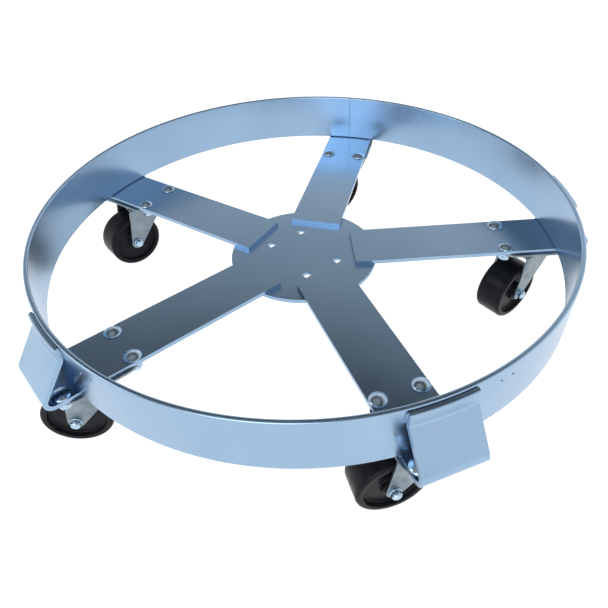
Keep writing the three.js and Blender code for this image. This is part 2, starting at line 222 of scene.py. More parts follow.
def blue_zinc_material():
    """Silver-blue finish on flat bar: soft reflections, faint clouds and smears, faint ripples."""
    material, shader, place = node_material("blue_zinc", metallic=0.97)
    link = material.node_tree.links.new
    clouds = noise(material, place, 9, 3)
    link(ramp(material, clouds, [(0.3, (0.27, 0.405, 0.565)), (0.7, (0.305, 0.44, 0.605))]),
         shader.inputs["Base Color"])
    smears = noise(material, place, 14, 2)
    link(span(material, smears, 0.23, 0.28), shader.inputs["Roughness"])
    bump(material, shader, noise(material, place, 260, 1), 0.02 * MM, 0.2)
    return material


def zinc_plate_material():
    """Zinc plated pressed steel, greyer and cloudier than the bar."""
    material, shader, place = node_material("zinc_plate", metallic=1.0)
    link = material.node_tree.links.new
    clouds = noise(material, place, 70, 4)
    link(ramp(material, clouds, [(0.32, (0.16, 0.205, 0.24)), (0.68, (0.25, 0.3, 0.335))]),
         shader.inputs["Base Color"])
    link(span(material, noise(material, place, 160, 5), 0.26, 0.42), shader.inputs["Roughness"])
    dents = bump(material, shader, noise(material, place, 60, 2), 0.12 * MM, 0.25)
    bump(material, shader, noise(material, place, 500, 2), 0.02 * MM, 0.3, before=dents)
    return material


def bright_zinc_material():
    """Bolts, nuts, rivets and sleeves."""
    material, shader, place = node_material("bright_zinc", metallic=1.0)
    link = material.node_tree.links.new
    clouds = noise(material, place, 260, 3)
    link(ramp(material, clouds, [(0.3, (0.34, 0.47, 0.6)), (0.7, (0.5, 0.64, 0.77))]),
         shader.inputs["Base Color"])
    link(span(material, noise(material, place, 420, 4), 0.18, 0.32), shader.inputs["Roughness"])
    bump(material, shader, noise(material, place, 900, 2), 0.02 * MM, 0.35)
    return material


def weld_material():
    """Weld metal: a little darker than the bar, with fine ripples."""
    material, shader, place = node_material("weld_metal", metallic=0.9)
    link = material.node_tree.links.new
    clouds = noise(material, place, 300, 3)
    link(ramp(material, clouds, [(0.3, (0.16, 0.24, 0.36)), (0.7, (0.27, 0.38, 0.52))]),
         shader.inputs["Base Color"])
    link(span(material, noise(material, place, 500, 3), 0.25, 0.4), shader.inputs["Roughness"])
    bump(material, shader, noise(material, place, 700, 2), 0.1 * MM, 0.5)
    return material


def black_wheel_material():
    """Moulded black wheel: semi gloss, with faint scuffs and a fine mould texture."""
    material, shader, place = node_material("black_wheel", metallic=0.0)
    shader.inputs["Specular IOR Level"].default_value = 0.09
    link = material.node_tree.links.new
    clouds = noise(material, place, 120, 4)
    link(ramp(material, clouds, [(0.3, (0.006, 0.007, 0.009)), (0.75, (0.012, 0.0125, 0.016))]),
         shader.inputs["Base Color"])
    link(span(material, noise(material, place, 190, 5), 0.22, 0.36), shader.inputs["Roughness"])
    scuffs = bump(material, shader, noise(material, place, 150, 3), 0.05 * MM, 0.3)
    bump(material, shader, noise(material, place, 500, 2), 0.02 * MM, 0.3, before=scuffs)
    return material


def floor_material():
    """White studio floor, lit from below as well, so that shadows on it stay faint."""
    material, shader, place = node_material("pale_floor", metallic=0.0)
    shader.inputs["Emission Color"].default_value = (1, 1, 1, 1)
    shader.inputs["Emission Strength"].default_value = 1.0
    link = material.node_tree.links.new
    clouds = noise(material, place, 2, 2)
    link(ramp(material, clouds, [(0.3, (0.29, 0.29, 0.29)), (0.7, (0.31, 0.31, 0.31))]),
         shader.inputs["Base Color"])
    shader.inputs["Roughness"].default_value = 0.9
    return material


BLUE_ZINC = blue_zinc_material()
ZINC_PLATE = zinc_plate_material()
BRIGHT_ZINC = bright_zinc_material()
WELD = weld_material()
BLACK_WHEEL = black_wheel_material()
FLOOR = floor_material()


# ---------------------------------------------------------------- mesh tools

SMOOTH_ANGLE = 35


def to_mesh(name, bm, bevel=0.0, bevel_steps=2, bevel_angle=40, smooth_angle=SMOOTH_ANGLE):
    """A finished mesh: either its sharp edges are rounded by the bevel and its flat faces keep
    their own shading, or it is smooth up to smooth_angle."""
    mesh = bpy.data.meshes.new(name)
    bm.to_mesh(mesh)
    bm.free()
    mesh.polygons.foreach_set("use_smooth", [True] * len(mesh.polygons))
    if bevel > 0:
        holder = bpy.data.objects.new(name, mesh)
        bpy.context.scene.collection.objects.link(holder)
        modifier = holder.modifiers.new("edge", "BEVEL")
        modifier.width = bevel
        modifier.segments = bevel_steps
        modifier.limit_method = "ANGLE"
        modifier.angle_limit = math.radians(bevel_angle)
        modifier.use_clamp_overlap = True
        holder.modifiers.new("shading", "WEIGHTED_NORMAL")
        depsgraph = bpy.context.evaluated_depsgraph_get()
        rounded = bpy.data.meshes.new_from_object(holder.evaluated_get(depsgraph))
        bpy.data.objects.remove(holder)
        bpy.data.meshes.remove(mesh)
        return rounded
    mesh.set_sharp_from_angle(angle=math.radians(smooth_angle))
    return mesh


def joined(name, meshes):
    """Several meshes as the islands of one."""
    bm = bmesh.new()
    for mesh in meshes:
        bm.from_mesh(mesh)
    whole = bpy.data.meshes.new(name)
    bm.to_mesh(whole)
    bm.free()
    whole.polygons.foreach_set("use_smooth", [True] * len(whole.polygons))
    whole.set_sharp_from_angle(angle=math.radians(SMOOTH_ANGLE))
    return whole


def lathe(profile, segments):
    """A closed body turned about Z. A profile of (radius, z) that starts and ends off the axis
    closes on itself, so it makes a ring."""
    bm = bmesh.new()
    on_axis = [abs(radius) < 1e-7 for radius, _ in profile]
    rings = []
    for (radius, z), single in zip(profile, on_axis):
        if single:
            rings.append([bm.verts.new((0, 0, z))])
            continue
        ring = []
        for step in range(segments):
            turn = 2 * math.pi * step / segments
            ring.append(bm.verts.new((radius * math.cos(turn), radius * math.sin(turn), z)))
        rings.append(ring)
    pairs = list(zip(rings, rings[1:]))
    if not on_axis[0]:
        pairs.append((rings[-1], rings[0]))
    for lower, upper in pairs:
        for step in range(segments):
            after = (step + 1) % segments
            corners = [lower[step % len(lower)], lower[after % len(lower)],
                       upper[after % len(upper)], upper[step % len(upper)]]
            face = list(dict.fromkeys(corners))
            if len(face) > 2:
                bm.faces.new(face)
    bmesh.ops.recalc_face_normals(bm, faces=bm.faces)
    return bm


def arc(centre_r, centre_z, radius, start, stop, steps):
    """Points of a profile's round stretch, from start to stop degrees."""
    points = []
    for step in range(steps + 1):
        turn = math.radians(start + (stop - start) * step / steps)
        points.append((centre_r + radius * math.cos(turn), centre_z + radius * math.sin(turn)))
    return points


def slab(outlines, low, high):
    """A flat plate: the first outline is its edge and the others are holes."""
    bm = bmesh.new()
    for outline in outlines:
        verts = [bm.verts.new((x, y, low)) for x, y in outline]
        for first, second in zip(verts, verts[1:] + verts[:1]):
            bm.edges.new((first, second))
    bmesh.ops.triangle_fill(bm, edges=bm.edges[:], use_beauty=True)
    extruded = bmesh.ops.extrude_face_region(bm, geom=bm.faces[:])
    top = [item for item in extruded["geom"] if isinstance(item, bmesh.types.BMVert)]
    bmesh.ops.translate(bm, verts=top, vec=(0, 0, high - low))
    bmesh.ops.recalc_face_normals(bm, faces=bm.faces)
    return bm


def circle(x, y, radius, steps):
    return [(x + radius * math.cos(2 * math.pi * step / steps),
             y + radius * math.sin(2 * math.pi * step / steps)) for step in range(steps)]


def rotated_square(x, y, side, turn):
    reach = side / math.sqrt(2)
    return [(x + reach * math.cos(turn + math.pi / 4 + corner * math.pi / 2),
             y + reach * math.sin(turn + math.pi / 4 + corner * math.pi / 2))
            for corner in range(4)]


def rounded_rectangle(length, width, radius, steps):
    points = []
    centres = [(1, 1), (-1, 1), (-1, -1), (1, -1)]
    for corner, (sign_x, sign_y) in enumerate(centres):
        x = sign_x * (length / 2 - radius)
        y = sign_y * (width / 2 - radius)
        points += arc(x, y, radius, corner * 90, corner * 90 + 90, steps)
    return points


def shifted(mesh, matrix):
    """A copy of a mesh in another place."""
    copy = mesh.copy()
    copy.transform(matrix)
    return copy


def show(name, mesh, matrix, material, body, replaced=()):
    """One finished piece in its place, riding on its body."""
    placed = shifted(mesh, matrix)
    placed.name = name
    placed.materials.clear()
    placed.materials.append(material)
    piece = bpy.data.objects.new(name, placed)
    bpy.context.scene.collection.objects.link(piece)
    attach(piece, body)
    if replaced:
        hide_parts(*replaced)


# ---------------------------------------------------------------- frame pieces

def hoop_mesh():
    """Flat bar on edge, rolled to a circle, with the round edges of rolled bar."""
    profile = [
        (HOOP_INNER_RADIUS, HOOP_BOTTOM),
        (HOOP_OUTER_RADIUS, HOOP_BOTTOM),
        (HOOP_OUTER_RADIUS, HOOP_TOP),
        (HOOP_INNER_RADIUS, HOOP_TOP),
    ]
    body = lathe(profile, HOOP_SEGMENTS)
    return to_mesh("hoop_finish", body, bevel=HOOP_EDGE_RADIUS, bevel_steps=5)


def bead(length, width, height, ripples):
    """A weld bead along X on the XY plane: a rippled half round with tapered ends."""
    bm = bmesh.new()
    rows = ripples * 4
    columns = 10
    grid = []
    for row in range(rows + 1):
        share = row / rows
        end = math.sin(math.pi * share) ** 0.35 if 0 < row < rows else 0.02
        ripple = 1 + 0.09 * math.cos(2 * math.pi * ripples * share)
        line = []
        for column in range(columns + 1):
            turn = math.pi * column / columns
            y = -width / 2 * math.cos(turn) * end * ripple
            z = height * math.sin(turn) * end * ripple
            line.append(bm.verts.new(((share - 0.5) * length, y, z)))
        grid.append(line)
    for row in range(rows):
        for column in range(columns):
            bm.faces.new((grid[row][column], grid[row + 1][column],
                          grid[row + 1][column + 1], grid[row][column + 1]))
        bm.faces.new((grid[row][0], grid[row][columns],
                      grid[row + 1][columns], grid[row + 1][0]))
    bm.faces.new(grid[0])
    bm.faces.new(list(reversed(grid[rows])))
    bmesh.ops.recalc_face_normals(bm, faces=bm.faces)
    return to_mesh("bead", bm, smooth_angle=60)


def seam_meshes():
    """The hoop's butt weld, dressed to a thin line inside and outside."""
    middle = (HOOP_TOP + HOOP_BOTTOM) / 2
    strip = bead(BAR_WIDTH - 2 * HOOP_EDGE_RADIUS, SEAM_WIDTH, SEAM_HEIGHT, 16)
    upright = Matrix.Rotation(math.pi / 2, 4, "Y")
    meshes = []
    for radius, flip in ((HOOP_INNER_RADIUS, math.pi), (HOOP_OUTER_RADIUS, 0)):
        place = (Matrix.Rotation(SEAM_ANGLE, 4, "Z") @ Matrix.Translation((radius, 0, middle))
                 @ Matrix.Rotation(flip, 4, "Z") @ upright)
        meshes.append(shifted(strip, place))
    return meshes


def centre_plate_mesh():
    outlines = [circle(0, 0, PLATE_RADIUS, PLATE_SEGMENTS)]
    for along in (-BOLT_PITCH_ALONG / 2, BOLT_PITCH_ALONG / 2):
        for across in (-BOLT_PITCH_ACROSS / 2, BOLT_PITCH_ACROSS / 2):
            place = Matrix.Rotation(PLATE_PATTERN_ANGLE, 2) @ Vector((along, across))
            outlines.append(rotated_square(place.x, place.y, SQUARE_HOLE, PLATE_PATTERN_ANGLE))
    body = slab(outlines, PLATE_LOW.z, PLATE_TOP)
    return to_mesh("centre_plate_finish", body, bevel=PLATE_EDGE_RADIUS)


def bar_sections():
    """The bent bar's centreline as (x, z, heading, hug, under), walked from its inner end. Hug is
    how far a section follows the hoop's curve across the bar's width, and under is how far its
    lower skin lies from the centreline, less at the lip's top, where the sheared edge is round."""
    x = ARM_INNER_END
    z = ARM_BOTTOM + BAR_THICKNESS / 2
    heading = 0.0
    bend_start = ARM_OUTER_END - BEND_RADIUS - BAR_THICKNESS / 2
    half = BAR_THICKNESS / 2
    sections = [(x, z, heading, 0.0, half)]

    def straight(length, steps, hug_from, hug_to):
        nonlocal x, z
        for step in range(1, steps + 1):
            x += length / steps * math.cos(heading)
            z += length / steps * math.sin(heading)
            hug = hug_from + (hug_to - hug_from) * step / steps
            sections.append((x, z, heading, hug, half))

    def bend(angle, steps, hug):
        nonlocal x, z, heading
        chord = 2 * BEND_RADIUS * math.sin(abs(angle) / steps / 2)
        for _ in range(steps):
            x += chord * math.cos(heading + angle / steps / 2)
            z += chord * math.sin(heading + angle / steps / 2)
            heading += angle / steps
            sections.append((x, z, heading, hug, half))

    straight(bend_start - x, 12, 0, 0)
    bend(LOWER_BEND, 20, 0)
    reach = x - BEND_RADIUS * (1 - math.sin(heading)) - LIP_RADIUS
    straight(reach / -math.cos(heading), 10, 0, 1)
    bend(-UPPER_BEND, 8, 1)
    straight(LIP_TOP - LIP_EDGE_RADIUS - z, 4, 1, 1)
    for step in range(1, 8):
        turn = math.pi / 2 * step / 7
        sections.append((x, z + LIP_EDGE_RADIUS * math.sin(turn), heading, 1,
                         half - LIP_EDGE_RADIUS * (1 - math.cos(turn))))
    return sections


def arm_mesh():
    """Flat bar with its outrigger bends and a lip that follows the hoop."""
    sections = bar_sections()
    columns = 16
    bm = bmesh.new()
    skins = []
    for side in (1, -1):
        rows = []
        for x, z, heading, hug, under in sections:
            offset = BAR_THICKNESS / 2 if side > 0 else -under
            row = []
            for column in range(columns + 1):
                y = BAR_WIDTH * (column / columns - 0.5)
                sag = LIP_RADIUS - math.sqrt(LIP_RADIUS ** 2 - y ** 2)
                place = (x - offset * math.sin(heading) - hug * sag, y,
                         z + offset * math.cos(heading))
                row.append(bm.verts.new(place))
            rows.append(row)
        skins.append(rows)
    upper, lower = skins
    last = len(sections) - 1
    for row in range(last):
        for column in range(columns):
            for skin in skins:
                bm.faces.new((skin[row][column], skin[row + 1][column],
                              skin[row + 1][column + 1], skin[row][column + 1]))
        for column in (0, columns):
            bm.faces.new((upper[row][column], upper[row + 1][column],
                          lower[row + 1][column], lower[row][column]))
    for column in range(columns):
        for row in (0, last):
            bm.faces.new((upper[row][column], upper[row][column + 1],
                          lower[row][column + 1], lower[row][column]))
    bmesh.ops.recalc_face_normals(bm, faces=bm.faces)
    return to_mesh("arm_finish", bm, bevel=ARM_EDGE_RADIUS, bevel_steps=3, bevel_angle=60)


def arm_weld_meshes():
    """Beads of one arm, in the arm's frame: to the centre plate's rim underneath, into the corners
    under the hoop beside the bar, and down both edges of the lip."""
    meshes = []
    under = bead(30 * MM, 6 * MM, 2.6 * MM, 10)
    along_rim = Matrix.Translation((PLATE_RADIUS, 0, ARM_BOTTOM)) @ Matrix.Rotation(math.pi, 4, "X")
    meshes.append(shifted(under, along_rim @ Matrix.Rotation(math.pi / 2, 4, "Z")))
    corner_bead = bead(7 * MM, 3.6 * MM, 1.6 * MM, 4)
    lip_bead = bead(11 * MM, 2.6 * MM, 1.2 * MM, 6)
    for side in (-1, 1):
        y = side * BAR_WIDTH / 2
        middle = math.sqrt((HOOP_OUTER_RADIUS - BAR_THICKNESS / 2) ** 2 - y ** 2)
        lean = Matrix.Rotation(-side * math.radians(135), 4, "X")
        meshes.append(shifted(corner_bead, Matrix.Translation((middle, y, ARM_TOP)) @ lean))
        x = math.sqrt((LIP_RADIUS - BAR_THICKNESS / 2) ** 2 - y ** 2)
        place = Matrix.Translation((x, y, LIP_TOP - 8 * MM)) @ Matrix.Rotation(
            side * math.radians(40), 4, "Z") @ Matrix.Rotation(math.pi / 2, 4, "Y")
        meshes.append(shifted(lip_bead, place))
    dot = [(0, -0.3 * MM)] + arc(0, 0, SPECK_RADIUS, 0, 80, 4) + [(0, SPECK_RADIUS)]
    speck = to_mesh("speck", lathe(dot, 12))
    for along, height in WELD_SPECKS:
        turn = Matrix.Rotation(along / HOOP_OUTER_RADIUS, 4, "Z")
        outward = Matrix.Translation((HOOP_OUTER_RADIUS, 0, height)) @ Matrix.Rotation(
            math.pi / 2, 4, "Y")
        meshes.append(shifted(speck, turn @ outward))
    return meshes


# ---------------------------------------------------------------- fasteners

def threads(radius, low, high):
    """Profile of a threaded stretch from high down to low."""
    points = []
    count = max(1, int((high - low) / THREAD_PITCH))
    for turn in range(count):
        z = high - turn * THREAD_PITCH
        points.append((radius, z - 0.12 * THREAD_PITCH))
        points.append((radius - THREAD_DEPTH, z - 0.5 * THREAD_PITCH))
        points.append((radius, z - 0.88 * THREAD_PITCH))
    return points


def carriage_bolt_mesh():
    """A low domed head with a thin rolled rim, the shank, and the threads below the nut."""
    dome = BOLT_HEAD_HEIGHT - 0.9 * MM
    radius = (BOLT_HEAD_RADIUS ** 2 + dome ** 2) / (2 * dome)
    centre = ARM_TOP + BOLT_HEAD_HEIGHT - radius
    edge_tilt = math.degrees(math.acos(BOLT_HEAD_RADIUS / radius))
    profile = [(0, ARM_TOP + BOLT_HEAD_HEIGHT)]
    profile += arc(0, centre, radius, 87, edge_tilt + 2, 14)
    profile += arc(BOLT_HEAD_RADIUS - BOLT_RIM_RADIUS, ARM_TOP + BOLT_RIM_RADIUS,
                   BOLT_RIM_RADIUS, 40, -90, 6)
    profile += [(SHANK_RADIUS, ARM_TOP), (SHANK_RADIUS, BOLT_LOW + 4.4 * MM)]
    profile += threads(SHANK_RADIUS, BOLT_LOW + 0.6 * MM, BOLT_LOW + 4.4 * MM)
    profile += [(SHANK_RADIUS - 0.8 * MM, BOLT_LOW), (0, BOLT_LOW)]
    return to_mesh("carriage_bolt_finish", lathe(profile, 48), smooth_angle=50)


def hex_mesh(name, apothem, height, bore):
    """A hexagon with both faces chamfered by a cone, from z = 0 up, and a bore if bore > 0."""
    steps = 72
    start = apothem * HEX_FLAT_SHARE
    slope = math.tan(HEX_CHAMFER)
    bm = bmesh.new()

    def reach(turn):
        return apothem / math.cos((turn + math.pi / 6) % (math.pi / 3) - math.pi / 6)

    turns = [2 * math.pi * step / steps for step in range(steps)]
    drop = [max(0.0, (reach(turn) - start) * slope) for turn in turns]
    lines = []
    if bore > 0:
        lines.append([(bore, 0.25 * MM)] * steps)
        lines.append([(bore + 0.4 * MM, 0.0)] * steps)
    lines.append([(start, 0.0)] * steps)
    lines.append([(reach(turn), low) for turn, low in zip(turns, drop)])
    lines.append([(reach(turn), height - low) for turn, low in zip(turns, drop)])
    lines.append([(start, height)] * steps)
    if bore > 0:
        lines.append([(bore + 0.5 * MM, height)] * steps)
        lines.append([(bore, height - 0.4 * MM)] * steps)
    rings = []
    for line in lines:
        ring = []
        for turn, (radius, z) in zip(turns, line):
            ring.append(bm.verts.new((radius * math.cos(turn), radius * math.sin(turn), z)))
        rings.append(ring)
    pairs = list(zip(rings, rings[1:]))
    if bore > 0:
        pairs.append((rings[-1], rings[0]))
    for lower, upper in pairs:
        for step in range(steps):
            after = (step + 1) % steps
            bm.faces.new((lower[step], lower[after], upper[after], upper[step]))
    if bore <= 0:
        bm.faces.new(rings[0])
        bm.faces.new(rings[-1])
    bmesh.ops.recalc_face_normals(bm, faces=bm.faces)
    return to_mesh(name, bm, smooth_angle=28)


def lock_washer_mesh():
    """A split spring washer, its ends slightly apart in height."""
    steps = 60
    gap = math.radians(12)
    rise = 0.5 * MM
    inner = SHANK_RADIUS + 0.3 * MM
    outer = NUT_APOTHEM + 0.3 * MM
    bm = bmesh.new()
    rings = []
    for step in range(steps + 1):
        turn = gap / 2 + (2 * math.pi - gap) * step / steps
        lift = rise * (step / steps - 0.5)
        low = -WASHER_HEIGHT / 2 + lift
        high = WASHER_HEIGHT / 2 + lift
        ring = []
        for radius, z in ((inner, low), (outer, low), (outer, high), (inner, high)):
            ring.append(bm.verts.new((radius * math.cos(turn), radius * math.sin(turn), z)))
        rings.append(ring)
    for first, second in zip(rings, rings[1:]):
        for corner in range(4):
            after = (corner + 1) % 4
            bm.faces.new((first[corner], first[after], second[after], second[corner]))
    bm.faces.new(rings[0])
    bm.faces.new(rings[-1])
    bmesh.ops.recalc_face_normals(bm, faces=bm.faces)
    return to_mesh("lock_washer_finish", bm, bevel=0.2 * MM)


# ---------------------------------------------------------------- casters

def caster_plate_mesh():
    """Pressed top plate with rounded corners, its bolt holes and the upper raceway's groove."""
    outline = rounded_rectangle(CASTER_PLATE_LENGTH, CASTER_PLATE_WIDTH, CASTER_CORNER_RADIUS, 14)
    outlines = [outline, circle(0, 0, KINGPIN_HOLE_RADIUS, 40)]
    for along in (-BOLT_PITCH_ALONG / 2, BOLT_PITCH_ALONG / 2):
        for across in (-BOLT_PITCH_ACROSS / 2, BOLT_PITCH_ACROSS / 2):
            outlines.append(circle(along, across, BOLT_HOLE_RADIUS, 28))
    flat = to_mesh("flat", slab(outlines, CASTER_PLATE_BOTTOM, CASTER_PLATE_TOP), bevel=0.5 * MM)
    race = [(12 * MM, CASTER_PLATE_BOTTOM + 0.5 * MM), (12.6 * MM, BALL_Z + 0.7 * MM),
            (16.6 * MM, BALL_Z + 0.6 * MM)]
    race += arc(BALL_CIRCLE, BALL_Z + 0.1 * MM, RACE_RADIUS, 165, 15, 8)
    race += [(22.6 * MM, BALL_Z + 0.6 * MM)]
    race += arc(23.4 * MM, BALL_Z + 1.4 * MM, 0.9 * MM, -80, 0, 4)
    race += [(25 * MM, CASTER_PLATE_BOTTOM + 0.5 * MM)]
    raceway = to_mesh("raceway", lathe(race, 72), smooth_angle=50)
    return joined("caster_plate_finish", [flat, raceway])


def balls_mesh():
    """The upper row of bearing balls."""
    bm = bmesh.new()
    for number in range(BALL_COUNT):
        turn = 2 * math.pi * number / BALL_COUNT
        place = Matrix.Translation((BALL_CIRCLE * math.cos(turn), BALL_CIRCLE * math.sin(turn),
                                    BALL_Z))
        bmesh.ops.create_icosphere(bm, subdivisions=2, radius=BALL_RADIUS, matrix=place)
    return to_mesh("bearing_balls", bm, smooth_angle=60)


def tangent_point(start, centre, radius, side):
    """Where a line from start touches a circle, on its left (side 1) or right (side -1)."""
    away = Vector(start) - Vector(centre)
    lean = math.acos(radius / away.length)
    turn = math.atan2(away.y, away.x) + side * lean
    return Vector(centre) + radius * Vector((math.cos(turn), math.sin(turn)))


def leg_outlines():
    """The front and rear edges of a fork leg, as points from the crown to the leg's lowest."""
    centre = Vector((TRAIL, AXLE_Z))
    front_top = Vector((LEG_FRONT, CROWN_TOP))
    rear_top = Vector((LEG_BACK, CROWN_TOP))
    shoulder = Vector((LEG_BACK, CROWN_TOP - SHOULDER_DROP))
    front_touch = tangent_point(front_top, centre, LEG_END_RADIUS, -1)
    rear_touch = tangent_point(shoulder, centre, LEG_END_RADIUS, 1)
    front_angle = math.atan2(front_touch.y - centre.y, front_touch.x - centre.x)
    rear_angle = math.atan2(rear_touch.y - centre.y, rear_touch.x - centre.x) % (2 * math.pi)
    bottom = (front_angle + rear_angle - 2 * math.pi) / 2

    def around(first, last, steps):
        return [centre + LEG_END_RADIUS * Vector((math.cos(first + (last - first) * step / steps),
                                                  math.sin(first + (last - first) * step / steps)))
                for step in range(1, steps + 1)]

    front = [front_top, front_touch] + around(front_angle, bottom, 10)
    rear = [rear_top, shoulder, rear_touch] + around(rear_angle - 2 * math.pi, bottom, 10)
    return front, rear


def along_line(points, distance):
    """The point at a distance along a line of points."""
    for first, second in zip(points, points[1:]):
        length = (second - first).length
        if distance <= length:
            return first.lerp(second, distance / length)
        distance -= length
    return points[-1]


def line_length(points):
    return sum((second - first).length for first, second in zip(points, points[1:]))


def fork_sheet_mesh():
    """Crown and legs as one pressed sheet: flat on top, a bend on each side, then the legs."""
    front, rear = leg_outlines()
    front_length = line_length(front)
    rear_length = line_length(rear)
    mid_y = LEG_OUTER_FACE - SHEET / 2
    mid_z = CROWN_TOP - SHEET / 2
    corner = FORK_BEND_RADIUS
    columns = 12
    flat_steps = 6
    bend_steps = 8
    leg_steps = 44

    def straight_row(y, z):
        return [Vector((LEG_BACK + (LEG_FRONT - LEG_BACK) * column / columns, y, z))
                for column in range(columns + 1)]

    half_sheet = []
    for step in range(flat_steps):
        half_sheet.append(straight_row((mid_y - corner) * step / flat_steps, mid_z))
    for step in range(bend_steps + 1):
        turn = math.pi / 2 * step / bend_steps
        half_sheet.append(straight_row(mid_y - corner + corner * math.sin(turn),
                                       mid_z - corner + corner * math.cos(turn)))
    skip = CROWN_TOP - (mid_z - corner)
    for step in range(1, leg_steps + 1):
        share = step / leg_steps
        ahead = along_line(front, skip + (front_length - skip) * share)
        behind = along_line(rear, skip + (rear_length - skip) * share)
        row = []
        for column in range(columns + 1):
            point = behind.lerp(ahead, column / columns)
            row.append(Vector((point.x, mid_y, point.y)))
        half_sheet.append(row)
    mirrored = [[Vector((p.x, -p.y, p.z)) for p in row] for row in reversed(half_sheet[1:])]
    bm = bmesh.new()
    grid = [[bm.verts.new(point) for point in row] for row in mirrored + half_sheet]
    for first, second in zip(grid, grid[1:]):
        for column in range(columns):
            bm.faces.new((first[column], first[column + 1], second[column + 1], second[column]))
    bmesh.ops.remove_doubles(bm, verts=bm.verts, dist=0.01 * MM)
    bmesh.ops.dissolve_degenerate(bm, edges=bm.edges, dist=0.005 * MM)
    bmesh.ops.recalc_face_normals(bm, faces=bm.faces)
    mesh = bpy.data.meshes.new("sheet")
    bm.to_mesh(mesh)
    bm.free()
    holder = bpy.data.objects.new("sheet", mesh)
    bpy.context.scene.collection.objects.link(holder)
    thick = holder.modifiers.new("thick", "SOLIDIFY")
    thick.thickness = SHEET
    thick.offset = 0
    edge = holder.modifiers.new("edge", "BEVEL")
    edge.width = 0.45 * MM
    edge.segments = 2
    edge.limit_method = "ANGLE"
    edge.angle_limit = math.radians(60)
    depsgraph = bpy.context.evaluated_depsgraph_get()
    finished = bpy.data.meshes.new_from_object(holder.evaluated_get(depsgraph))
    bpy.data.objects.remove(holder)
    return finished


def fork_mesh():
    """The pressed sheet with the round lower raceway on its crown."""
    top = CROWN_TOP
    race = [(5.4 * MM, top - 3 * MM), (5.4 * MM, top + 0.05 * MM), (15.8 * MM, top + 0.05 * MM)]
    race += [(16.6 * MM, top + 0.2 * MM)]
    race += arc(BALL_CIRCLE, top + 0.9 * MM, RACE_RADIUS, 200, 340, 8)
    race += [(22.4 * MM, top + 0.2 * MM)]
    race += arc(23.2 * MM, top - 0.9 * MM, 1 * MM, 80, 0, 4)
    race += [(24.2 * MM, top - 2.6 * MM), (23 * MM, top - 3 * MM)]
    raceway = to_mesh("crown", lathe(race, 72), smooth_angle=50)
    return joined("swivel_fork_finish", [fork_sheet_mesh(), raceway])


def kingpin_mesh():
    """The rivet: a flush upper head, the shank, a dished washer and a domed lower head."""
    low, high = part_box("kingpin_0")
    washer_top = CROWN_TOP - 3.3 * MM
    profile = [(0, high.z), (7.4 * MM, high.z), (8 * MM, high.z - 0.5 * MM),
               (5 * MM, high.z - 3 * MM), (5 * MM, washer_top)]
    profile += arc(12.2 * MM, washer_top - 0.9 * MM, 0.9 * MM, 90, -90, 6)
    profile += [(8.3 * MM, washer_top - 1.9 * MM)]
    profile += arc(0, low.z + 8.2 * MM, 8.2 * MM, -18, -88, 10)
    profile += [(0, low.z)]
    return to_mesh("kingpin_finish", lathe(profile, 56), smooth_angle=50)


def axle_bolt_meshes():
    """Along Z from the head: a hexagon head, the shank, and a flanged lock nut on its end."""
    face = LEG_OUTER_FACE + 0.1 * MM
    head = shifted(hex_mesh("axle_head", AXLE_HEX_APOTHEM, AXLE_HEAD_HEIGHT, 0),
                   Matrix.Translation((0, 0, -face - AXLE_HEAD_HEIGHT)))
    flange = [(AXLE_NUT_BORE, face), (6 * MM, face)]
    flange += arc(5.8 * MM, face + 0.6 * MM, 0.4 * MM, -40, 90, 5)
    flange += [(4.8 * MM, face + 1.3 * MM), (AXLE_NUT_BORE, face + 1.3 * MM)]
    nut = shifted(hex_mesh("axle_nut", AXLE_HEX_APOTHEM, 4.2 * MM, 3.6 * MM),
                  Matrix.Translation((0, 0, face + 0.8 * MM)))
    collar_low = face + 4.7 * MM
    collar = [(AXLE_NUT_BORE, collar_low), (4.9 * MM, collar_low)]
    collar += arc(4.3 * MM, collar_low + 0.7 * MM, 0.6 * MM, 0, 90, 4)
    collar += [(AXLE_NUT_BORE, collar_low + 1.3 * MM)]
    end = face + 6.9 * MM
    thread_low = end - 3.2 * MM
    shank = [(0, -face - 1 * MM), (AXLE_SHANK_RADIUS, -face - 1 * MM),
             (AXLE_SHANK_RADIUS, thread_low)]
    shank += threads(AXLE_SHANK_RADIUS, thread_low, end - 0.7 * MM)[::-1]
    shank += [(3.2 * MM, end), (0, end)]
    return joined("axle_bolt_finish", [
        head,
        nut,
        to_mesh("flange", lathe(flange, 48), smooth_angle=50),
        to_mesh("collar", lathe(collar, 40), smooth_angle=50),
        to_mesh("shank", lathe(shank, 40), smooth_angle=50),
    ])


def sleeve_mesh():
    """The tube between the fork's legs that the wheel turns on."""
    half = LEG_OUTER_FACE - SHEET - 0.3 * MM
    profile = [(SLEEVE_BORE, -half), (SLEEVE_RADIUS, -half), (SLEEVE_RADIUS, half),
               (SLEEVE_BORE, half)]
    return to_mesh("axle_sleeve_finish", lathe(profile, 48), bevel=0.3 * MM)


